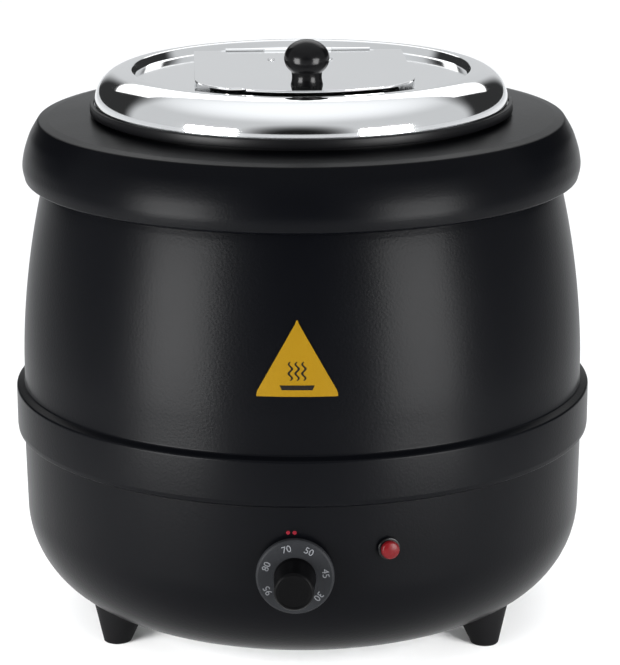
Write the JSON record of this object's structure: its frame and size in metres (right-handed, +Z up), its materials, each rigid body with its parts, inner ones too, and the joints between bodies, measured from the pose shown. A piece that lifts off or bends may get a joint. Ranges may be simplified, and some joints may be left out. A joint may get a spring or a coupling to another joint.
{
  "type": "soup kettle",
  "caption": "Barrel-shaped electric soup kettle with a water bath, lift-out pot, lift-off domed lid with hinged serving flap, and a front thermostat knob.",
  "frame": {"origin": "on the kettle's axis, level with the underside of the feet", "axes": "+Z up along the kettle's axis, the controls face -Y, the cord gland faces +Y"},
  "size_m": [0.34, 0.39, 0.3586],
  "materials": {
    "coated_black": "fine textured black baked coating",
    "black_plastic": "smooth black moulded plastic",
    "foot_rubber": "matte moulded rubber",
    "lid_chrome": "mirror-polished steel",
    "steel": "satin stainless steel",
    "aluminium": "plain sheet",
    "copper": "bare copper tube",
    "ceramic": "cream heat-proof moulding",
    "label_yellow": "printed adhesive film",
    "lens_red": "clear red moulded lens"
  },
  "bodies": {
    "housing": {"lower_shell": "coated_black", "upper_shell": "coated_black", "collar": "coated_black", "seat_ring": "black_plastic", "water_pot": "steel", "bottom_cover": "steel", "cover_screw_1": "steel", "cover_screw_2": "steel", "cover_screw_3": "steel", "foot_front_left": "foot_rubber", "foot_screw_front_left": "steel", "foot_nut_front_left": "steel", "foot_front_right": "foot_rubber", "foot_screw_front_right": "steel", "foot_nut_front_right": "steel", "foot_rear": "foot_rubber", "foot_screw_rear": "steel", "foot_nut_rear": "steel", "heating_element": "steel", "element_clamp_plate": "aluminium", "clamp_stud": "steel", "clamp_nut": "steel", "thermal_cutout": "ceramic", "thermostat_body": "ceramic", "thermostat_screw_1": "steel", "thermostat_screw_2": "steel", "thermostat_bulb": "copper", "capillary_tube": "copper", "lamp_body": "black_plastic", "lamp_lens": "lens_red", "lamp_nut": "steel", "cable_gland": "black_plastic", "gland_nut": "black_plastic", "terminal_block": "ceramic", "warning_label": "label_yellow"},
    "pot": {"food_pot": "steel"},
    "lid": {"lid_shell": "lid_chrome", "hinge_leaf": "steel", "hinge_pin": "steel", "hinge_rivet_1": "steel", "hinge_rivet_2": "steel"},
    "flap": {"lid_flap": "lid_chrome", "lid_knob": "black_plastic", "knob_screw": "steel", "flap_rivet_1": "steel", "flap_rivet_2": "steel"},
    "knob": {"dial_skirt": "black_plastic", "knob_grip": "black_plastic", "thermostat_shaft": "steel"}
  },
  "joints": [
    {"name": "pot_lift", "type": "slide", "parent": "housing", "child": "pot", "axis": [0, 0, 1], "range_m": [0, 0.28]},
    {"name": "lid_lift", "type": "slide", "parent": "pot", "child": "lid", "axis": [0, 0, 1], "range_m": [0, 0.2]},
    {"name": "flap_hinge", "type": "hinge", "parent": "lid", "child": "flap", "pos_m": [-0.00328, 0.04689, 0.3326], "axis": [-0.9976, -0.0698, 0], "range_deg": [0, 105]},
    {"name": "thermostat_turn", "type": "hinge", "parent": "housing", "child": "knob", "pos_m": [0, -0.16, 0.081], "axis": [0, -1, 0], "range_deg": [-108, 209]}
  ]
}
